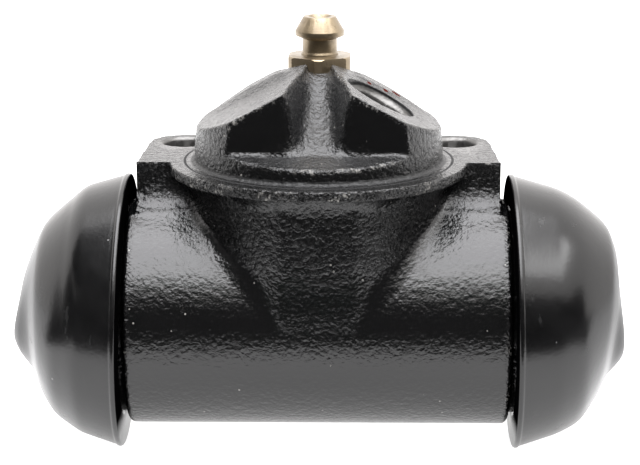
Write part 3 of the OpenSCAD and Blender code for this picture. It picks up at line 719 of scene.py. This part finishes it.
class WHEELCYL_OT_threads(bpy.types.Operator):
    """Cuts the look of a thread into the inlet port and the two bolt holes."""
    bl_idname = "wheelcyl.threads"
    bl_label = "Threads"

    def execute(self, context):
        s = context.scene.casting_sizes
        finish = thread_finish()
        tilt = Euler((0, s.roof_slope, 0)).to_matrix().to_4x4()
        port = Matrix.Translation((s.port_x, s.port_y, s.port_z)) @ tilt
        self.thread("inlet_thread", s.port_r, s.port_pitch, 0.5 * MM, 1.2 * MM, s.port_depth, port, finish)
        for side, name in ((-1, "left_bolt_thread"), (1, "right_bolt_thread")):
            place = Matrix.Translation((side * s.bolt_x, s.bolt_y, 0))
            self.thread(name, s.bolt_r, s.bolt_pitch, 0.28 * MM, 0.9 * MM, s.bolt_depth, place, finish)
        return {"FINISHED"}

    def thread(self, name, radius, pitch, depth, lead, length, place, finish):
        """One helical ridge that stands in from the hole's wall, below a plain lead."""
        turns = int((length - lead) / pitch - 0.5)
        bpy.ops.object.select_all(action="DESELECT")
        bpy.ops.mesh.primitive_circle_add(vertices=4, radius=depth)
        ridge = named(name)
        root, crest = radius + 0.05 * MM, radius - depth
        flank, flat = 0.42 * pitch, 0.07 * pitch
        profile = ((root, -flank), (crest, -flat), (crest, flat), (root, flank))
        for vertex, (out, up) in zip(ridge.data.vertices, profile):
            vertex.co = (out, 0, up - length + 0.5 * pitch)
        modify(ridge, "SCREW", screw_offset=pitch, iterations=turns, steps=48, render_steps=48, axis="Z",
               use_merge_vertices=False)
        bpy.ops.object.mode_set(mode="EDIT")
        bpy.ops.mesh.select_all(action="DESELECT")
        bpy.ops.mesh.select_non_manifold()
        bpy.ops.mesh.fill_holes(sides=4)
        bpy.ops.object.mode_set(mode="OBJECT")
        ridge.matrix_world = place
        settle(ridge)
        smooth(ridge, 30)
        finish_piece(ridge, finish, "cylinder", "black_paint")


class WHEELCYL_OT_bleeder(bpy.types.Operator):
    """Rounds the bleeder screw's turned edges and gives it its yellow zinc."""
    bl_idname = "wheelcyl.bleeder"
    bl_label = "Bleeder screw"

    def execute(self, context):
        look = context.scene.bleeder_look
        screw = copy_of("bleeder_screw", "bleeder")
        bpy.ops.object.mode_set(mode="EDIT")
        bpy.ops.mesh.select_all(action="SELECT")
        bpy.ops.mesh.dissolve_limited(angle_limit=math.radians(0.5))
        bpy.ops.object.mode_set(mode="OBJECT")
        modify(screw, "BEVEL", width=look.edge, segments=2, limit_method="ANGLE", angle_limit=math.radians(24),
               use_clamp_overlap=True, harden_normals=False)
        smooth(screw, 28)
        finish_piece(screw, zinc_finish(), "bleeder", "yellow_zinc", "bleeder_screw")
        return {"FINISHED"}


class WHEELCYL_OT_boots(bpy.types.Operator):
    """Spins the two rubber boots from their section and seats them on the barrel's ends."""
    bl_idname = "wheelcyl.boots"
    bl_label = "Dust boots"

    def execute(self, context):
        look = context.scene.boot_sizes
        finish = rubber_finish()
        for name, side, lean, line in (("left_boot", -1, look.left_lean, LEFT_BOOT_LINE),
                                       ("right_boot", 1, look.right_lean, RIGHT_BOOT_LINE)):
            boot = self.spin(context, name + "_rubber", side)
            self.seat(context, boot, side, lean, self.eased(line))
            finish_piece(boot, finish, "cylinder", "boot_rubber", name)
        return {"FINISHED"}

    def section(self, b):
        """The boot's closed section, as distances from the shoulder and radii, and the outer part of it.

        The points round nose, rim and bead stand off their places by small distances in millimetres.
        """
        def arc(centre, radius, start, end, count):
            return [(centre[0] + radius * math.sin(a), centre[1] + radius * math.cos(a))
                    for a in (start + (end - start) * i / count for i in range(count + 1))]

        def at(t, dt, r, dr):
            return t + dt * MM, r + dr * MM
        band, step = 1.4 * MM, 0.25 * MM
        skirt = (band + step / 2, b.rim_r - step)
        dome_in = (skirt[0] + b.skirt_l, skirt[1] - b.skirt_l * math.tan(b.skirt_slope))
        centre = (dome_in[0] - b.dome_r * math.sin(b.skirt_slope),
                  dome_in[1] - b.dome_r * math.cos(b.skirt_slope))
        dome = arc(centre, b.dome_r, b.skirt_slope, b.face_slope, 14)
        inner = arc(centre, b.dome_r - b.wall, b.face_slope, b.skirt_slope, 12)
        face_t = dome[-1][0] + (dome[-1][1] - b.face_r) / math.tan(b.face_slope)
        foot = b.nose_r + b.nose_h * 0.9
        waist = b.nose_r + 0.45 * (foot - b.nose_r)
        top, inside = face_t + b.nose_h, inner[0][0]
        nose = [at(face_t, 0.05, b.face_r, 0), at(face_t, 0.3, foot, 0.4), at(face_t, 0.65, foot, -0.3),
                at(face_t + 0.45 * b.nose_h, 0.2, waist, 0), at(top, -0.4, b.nose_r, 0.2),
                at(top, -0.1, b.nose_r, -0.2), at(top, 0.06, b.nose_r, -0.8), at(top, 0.2, b.hole_r, 0.9),
                at(top, 0.2, b.hole_r, 0.3), at(top, -0.1, b.hole_r, 0), at(top, -1.2, b.hole_r, 0),
                at(inside, 0.6, b.hole_r, 0), at(inside, 0.1, b.hole_r, 0.1), at(inside, 0, b.hole_r, 0.6)]
        back = [at(b.gap, 0, b.bead_r, 0), at(b.gap, -0.03, b.bead_r, 1.2), at(b.gap, 0, b.rim_r, -2.8),
                at(b.gap, 0.05, b.rim_r, -0.5), at(b.gap, 0.1, b.rim_r, -0.2), at(b.gap, 0.3, b.rim_r, 0),
                at(band, -0.2, b.rim_r, 0), at(band, 0, b.rim_r, -0.1), at(band, 0.12, b.rim_r, -0.28),
                at(band, 0.4, skirt[1], -0.08)]
        side = [(skirt[0] + (dome_in[0] - skirt[0]) * u, skirt[1] + (dome_in[1] - skirt[1]) * u)
                for u in (0.2, 0.4, 0.6, 0.8)]
        seat = [at(b.lip_end, 0, b.lip_r, 0), at(b.bead_end, 0.2, b.lip_r, 0), at(b.bead_end, 0, b.lip_r, -0.2),
                at(b.bead_end, 0, b.bead_r, 0.2), at(b.bead_end, -0.2, b.bead_r, 0)]
        return back + side + dome + nose + inner + seat, side + dome + nose[:9]

    def spin(self, context, name, side):
        s, b = context.scene.casting_sizes, context.scene.boot_sizes
        profile = [Vector((side * (s.shoulder_x + t), 0, r - s.axis_drop)) for t, r in self.section(b)[0]]
        bpy.ops.object.select_all(action="DESELECT")
        bpy.ops.mesh.primitive_plane_add(size=0.01)
        boot = named(name)
        bpy.ops.object.mode_set(mode="EDIT")
        bpy.ops.mesh.select_all(action="SELECT")
        bpy.ops.mesh.merge(type="CENTER")
        bpy.ops.transform.translate(value=profile[0])
        for start, end in zip(profile, profile[1:]):
            bpy.ops.mesh.extrude_region_move(TRANSFORM_OT_translate={"value": end - start})
        bpy.ops.mesh.select_all(action="SELECT")
        bpy.ops.mesh.spin(steps=b.steps, angle=2 * math.pi, center=(0, 0, -s.axis_drop), axis=(1, 0, 0))
        bpy.ops.mesh.select_all(action="SELECT")
        bpy.ops.mesh.remove_doubles(threshold=1e-6)
        bpy.ops.mesh.select_all(action="DESELECT")
        bpy.ops.mesh.select_non_manifold(extend=False, use_wire=False, use_multi_face=False, use_verts=False)
        bpy.ops.mesh.bridge_edge_loops()
        bpy.ops.object.mode_set(mode="OBJECT")
        return boot

    def eased(self, line):
        """The line in small steps and metres, with its corners eased."""
        high, out = np.array(line[::-1]).T
        fine = np.linspace(high[0], high[-1], 421)
        bell = np.exp(-0.5 * (np.arange(-24, 25) / 8.5) ** 2)
        smooth = np.convolve(np.pad(np.interp(fine, high, out), 24, "edge"), bell / bell.sum(), "valid")
        return np.stack([fine, smooth], axis=1) * MM

    def seat(self, context, boot, side, lean, line):
        """Pulls the moulded outline to its line above and below the axis, and leans the boot on its groove."""
        s, b = context.scene.casting_sizes, context.scene.boot_sizes
        co = points(boot)
        t = side * co[:, 0] - s.shoulder_x
        up = co[:, 2] + s.axis_drop
        r = np.hypot(co[:, 1], up)
        outer = np.array(self.section(b)[1])[::-1]
        plain = np.interp(r, outer[:, 1], outer[:, 0])
        above = np.interp(r, line[:, 0], line[:, 1])
        below = np.interp(-r, line[:, 0], line[:, 1])
        turn = 0.5 + 0.5 * up / np.maximum(r, MM)
        share = turn * turn * (3 - 2 * turn)
        t = t + (below + (above - below) * share - plain) * past(t, 6.5 * MM, 3.5 * MM)
        turned_t = t * math.cos(lean) - up * math.sin(lean)
        up = t * math.sin(lean) + up * math.cos(lean)
        co[:, 0] = side * (turned_t + s.shoulder_x)
        co[:, 2] = up - s.axis_drop
        put_points(boot, co)
        settle(boot)
        modify(boot, "SUBSURF", levels=1, render_levels=1)
        self.dull_shade(boot, side, s)
        bpy.ops.object.shade_smooth()

    def dull_shade(self, boot, side, s):
        """Marks where flat dark rubber covers the reflections: painted shade on the boot's back, clear of the
        floor's light, and a partial cover towards its nose.
        """
        co = points(boot)
        back = past(-side * normals(boot)[:, 0], 0.75, 0.15) * past(co[:, 2] + s.axis_drop, -16.5 * MM, 3.5 * MM)
        nose = 0.4 * past(side * co[:, 0] - s.shoulder_x, 13.5 * MM, 3 * MM)
        mark(boot, "dull_shade", np.maximum(back, nose))


class WHEELCYL_OT_inner_pieces(bpy.types.Operator):
    """Gives the pistons, cups and expanders their finishes."""
    bl_idname = "wheelcyl.inner_pieces"
    bl_label = "Pistons and cups"

    def execute(self, context):
        look = context.scene.inner_look
        finishes = {"piston": metal_finish("turned_alloy", look.alloy, rough=0.28), "cup": cup_finish(),
                    "cup_expander": metal_finish("pressed_steel", look.steel, (1.0, 1.0, 1.0), 0.34)}
        for side in ("left", "right"):
            for piece, finish in finishes.items():
                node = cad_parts[f"{side}_{piece}"]
                node.data.materials.clear()
                node.data.materials.append(finish)
        return {"FINISHED"}


class WHEELCYL_OT_spring(bpy.types.Operator):
    """Winds the return spring in two halves, each stretched between the middle and its piston."""
    bl_idname = "wheelcyl.spring"
    bl_label = "Return spring"

    def execute(self, context):
        look = context.scene.inner_look
        finish = metal_finish("spring_wire", look.wire, (1.0, 1.0, 1.0), 0.3)
        for side, name, body in ((-1, "left_spring_half", "left_piston_group"),
                                 (1, "right_spring_half", "right_piston_group")):
            spring = self.wind(context, name, side)
            spring.data.materials.append(finish)
            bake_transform(spring)
            if side < 0:
                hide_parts("return_spring")
        return {"FINISHED"}

    def wind(self, context, name, side):
        look, drop = context.scene.inner_look, context.scene.casting_sizes.axis_drop
        turns, per_turn = look.half_turns, 28
        flat = 2 * look.wire_r
        rise = (look.spring_end - look.wire_r - flat) / (turns - 1)
        curve = bpy.data.curves.new(name, "CURVE")
        curve.dimensions = "3D"
        curve.bevel_depth = look.wire_r
        curve.bevel_resolution = 3
        curve.use_fill_caps = True
        spline = curve.splines.new("POLY")
        spline.points.add(turns * per_turn)
        for i, point in enumerate(spline.points):
            turn = i / per_turn
            x = turn * rise if turn < turns - 1 else (turns - 1) * rise + (turn - turns + 1) * flat
            a = side * 2 * math.pi * turn
            point.co = (side * x, look.coil_r * math.cos(a), look.coil_r * math.sin(a) - drop, 1)
        spring = bpy.data.objects.new(name, curve)
        context.scene.collection.objects.link(spring)
        only(spring)
        bpy.ops.object.convert(target="MESH")
        spring = named(name)
        settle(spring)
        smooth(spring, 40)
        return spring


class WHEELCYL_OT_studio(bpy.types.Operator):
    """Sets the pale floor, the softbox and cards, the white surround and the camera."""
    bl_idname = "wheelcyl.studio"
    bl_label = "Studio"

    def execute(self, context):
        look = context.scene.studio_look
        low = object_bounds()[0][2]
        on_table = low + 1 * MM
        flat, facing, sideways = (0, 0, 0), (math.pi / 2, 0, 0), (math.pi / 2, 0, math.pi / 2)
        self.card("studio_floor", (0, 0, low), flat, (8, 8), floor_finish(), True)
        self.softbox(look)
        dark = card_finish("dark_card", look.dark_card)
        for name, place, turn, size in (
                ("dark_room", (0, -0.9, 0.2), facing, (2.6, 0.62)),
                ("dark_table", (0, -0.479, on_table), flat, (2.4, 0.842)),
                ("dark_left", (-0.65, -0.029, on_table), flat, (1.1, 0.058)),
                ("dark_right", (0.65, -0.044, on_table), flat, (1.1, 0.028)),
                ("dark_left_wall", (-1.3, -0.45, 0.25), sideways, (0.9, 0.72)),
                ("dark_right_wall", (1.3, -0.62, 0.2), sideways, (0.56, 0.62)),
                ("dark_ceiling", (-0.66, -0.445, 0.52), flat, (0.72, 1.05))):
            self.card(name, place, turn, size, dark, False)
        strip = card_finish("side_light", look.side_light)
        self.card("side_light", (0.47, -0.2, 0.5), flat, (0.16, 0.5), strip, False)
        world = bpy.data.worlds.new("white_surround")
        world.use_nodes = True
        world.node_tree.nodes["Background"].inputs[0].default_value = rgba(look.sky_tint)
        world.node_tree.nodes["Background"].inputs[1].default_value = look.sky
        context.scene.world = world
        context.scene.view_settings.view_transform = "Standard"
        context.scene.view_settings.look = "None"
        self.camera(context, look)
        return {"FINISHED"}

    def card(self, name, place, turn, size, material, seen):
        """A flat sheet; one that isn't seen shows only in reflections."""
        bpy.ops.object.select_all(action="DESELECT")
        bpy.ops.mesh.primitive_plane_add(size=1, location=place, rotation=turn)
        sheet = named(name)
        sheet.scale = (*size, 1)
        only(sheet)
        bpy.ops.object.transform_apply(location=True, rotation=True, scale=True)
        sheet.data.materials.append(material)
        if not seen:
            sheet.visible_camera = False
            sheet.visible_shadow = False
            sheet.visible_diffuse = False
        sheet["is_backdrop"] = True

    def softbox(self, look):
        """The wide lamp overhead."""
        light = bpy.data.lights.new("top_softbox", "AREA")
        light.shape = "RECTANGLE"
        light.size, light.size_y = 0.54, 0.74
        light.color = look.top_tint
        light.energy = look.top_box * math.pi * light.size * light.size_y
        lamp = bpy.data.objects.new("top_softbox", light)
        lamp.location = (0, -0.165, look.top_height)
        lamp.visible_camera = False
        bpy.context.scene.collection.objects.link(lamp)

    def camera(self, context, look):
        """Camera whose image of the bore's centre falls on the photo's pixel."""
        centre = Vector((0, 0, -context.scene.casting_sizes.axis_drop))
        depth = look.focal_px / look.px_per_mm * MM
        turn = Euler((math.pi / 2 - look.pitch, 0, look.yaw)).to_matrix()
        right = (look.bore_px[0] - IMAGE_PX[0] / 2) / look.focal_px
        up = (IMAGE_PX[1] / 2 - look.bore_px[1]) / look.focal_px
        ray = Vector((right, up, -1)) * depth
        data = bpy.data.cameras.new("camera")
        data.sensor_width = 36
        data.lens = data.sensor_width * look.focal_px / IMAGE_PX[0]
        data.clip_start = 0.01
        data.clip_end = 50
        camera = bpy.data.objects.new("camera", data)
        camera.matrix_world = Matrix.Translation(centre - turn @ ray) @ turn.to_4x4()
        context.scene.collection.objects.link(camera)
        context.scene.camera = camera


class WHEELCYL_PT_panel(bpy.types.Panel):
    """Lists the pieces in the order they are made."""
    bl_label = "Wheel Cylinder"
    bl_idname = "WHEELCYL_PT_panel"
    bl_space_type = "VIEW_3D"
    bl_region_type = "UI"
    bl_category = "Wheel Cylinder"

    def draw(self, context):
        for operator in OPERATORS:
            self.layout.operator(operator.bl_idname)
        for name in GROUPS:
            box = self.layout.box()
            group = getattr(context.scene, name)
            for prop in group.__annotations__:
                box.prop(group, prop)


GROUPS = {"casting_sizes": CastingSizes, "casting_colours": CastingColours, "boot_sizes": BootSizes,
          "bleeder_look": BleederLook, "inner_look": InnerLook, "studio_look": StudioLook}
OPERATORS = (WHEELCYL_OT_casting, WHEELCYL_OT_threads, WHEELCYL_OT_bleeder, WHEELCYL_OT_boots,
             WHEELCYL_OT_inner_pieces, WHEELCYL_OT_spring, WHEELCYL_OT_studio)


def register():
    for cls in (*GROUPS.values(), *OPERATORS, WHEELCYL_PT_panel):
        bpy.utils.register_class(cls)
    for name, cls in GROUPS.items():
        setattr(bpy.types.Scene, name, PointerProperty(type=cls))


def unregister():
    for name in GROUPS:
        delattr(bpy.types.Scene, name)
    for cls in reversed((*GROUPS.values(), *OPERATORS, WHEELCYL_PT_panel)):
        bpy.utils.unregister_class(cls)


def main():
    register()
    bpy.ops.wheelcyl.casting()
    bpy.ops.wheelcyl.threads()
    bpy.ops.wheelcyl.bleeder()
    bpy.ops.wheelcyl.boots()
    bpy.ops.wheelcyl.inner_pieces()
    bpy.ops.wheelcyl.spring()
    bpy.ops.wheelcyl.studio()


if __name__ == "__main__":
    main()
